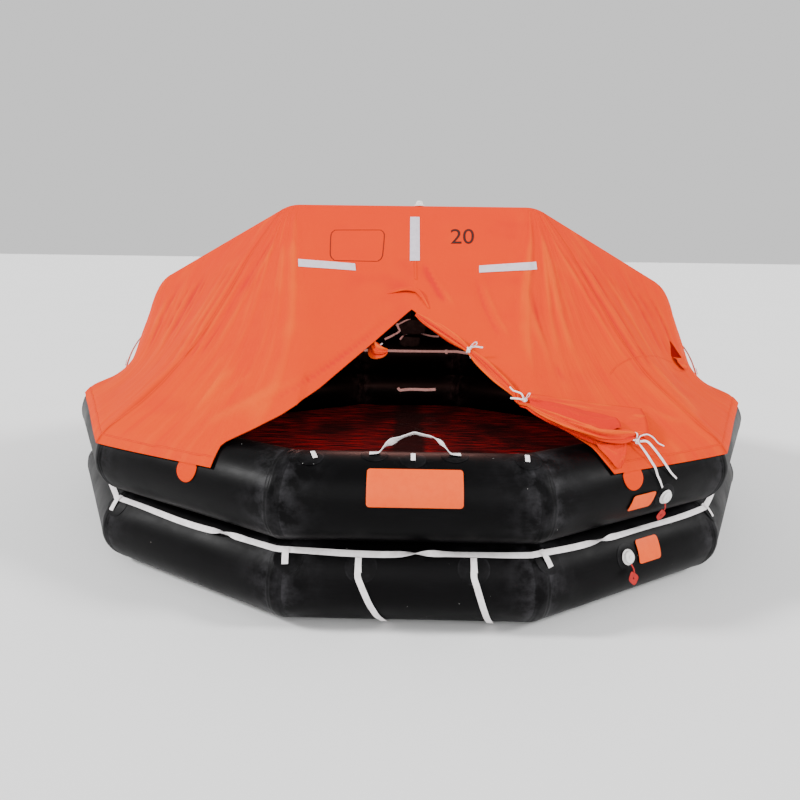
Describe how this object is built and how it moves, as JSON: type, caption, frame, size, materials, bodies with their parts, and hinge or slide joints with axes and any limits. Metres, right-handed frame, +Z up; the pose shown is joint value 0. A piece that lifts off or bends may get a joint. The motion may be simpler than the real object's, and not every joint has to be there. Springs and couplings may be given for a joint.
{
  "type": "inflatable life raft",
  "caption": "Inflatable life raft with two stacked buoyancy tubes, an inflated floor, an arch-supported tent canopy and an open entrance.",
  "frame": {"origin": "on the floor under the middle of the tubes", "axes": "+Z up, the open entrance faces -Y, +X is to the right seen from in front"},
  "size_m": [3.7206, 3.7316, 1.6962],
  "materials": {
    "rubber": "matt black coated fabric with a soft sheen",
    "floor": "matt black coated fabric, wrinkled",
    "canopy": "orange coated canopy cloth",
    "plate": "orange flexible plates, blank",
    "webbing": "white woven webbing",
    "dark_cloth": "black cloth",
    "plastic": "white moulded plastic",
    "steel": "grey painted steel",
    "brass": "machined brass"
  },
  "bodies": {
    "root": {"lower_tube": "rubber", "upper_tube": "rubber", "arch_tube": "rubber", "strap_patch_left": "rubber", "strap_patch_right": "rubber", "inflation_valve_lower_patch": "rubber", "inflation_valve_upper_patch": "rubber", "inflation_hose": "rubber", "inflated_floor": "floor", "canopy_front_left": "canopy", "canopy_front_right": "canopy", "canopy_side_front_left": "canopy", "canopy_side_front_right": "canopy", "canopy_rear_left": "canopy", "canopy_rear_right": "canopy", "canopy_side_rear_left": "canopy", "canopy_side_rear_right": "canopy", "rear_door_left": "canopy", "rear_door_right": "canopy", "door_roll_right": "canopy", "door_roll_left": "canopy", "hem_patch_left": "canopy", "hem_patch_right": "canopy", "boarding_sign": "plate", "label_plate_lower": "plate", "label_plate_upper": "plate", "ladder_strap_left": "webbing", "ladder_strap_right": "webbing", "lifeline_outer": "webbing", "lifeline_inner": "webbing", "boarding_handle": "webbing", "righting_strap": "webbing", "door_tie_1": "webbing", "door_tie_2": "webbing", "door_tie_3": "webbing", "door_tie_knot": "webbing", "tie_tail_long": "webbing", "tie_tail_short": "webbing", "tie_tail_thin": "webbing", "water_pocket_1": "dark_cloth", "water_pocket_2": "dark_cloth", "water_pocket_3": "dark_cloth", "water_pocket_4": "dark_cloth", "rescue_line_bag": "dark_cloth", "cylinder_band_1": "dark_cloth", "cylinder_band_2": "dark_cloth", "inflation_valve_lower": "plastic", "inflation_valve_upper": "plastic", "ridge_light": "plastic", "cabin_light": "plastic", "gas_cylinder": "steel", "tow_plate": "steel", "cylinder_head": "brass", "hose_inlet": "brass"}
  },
  "joints": []
}
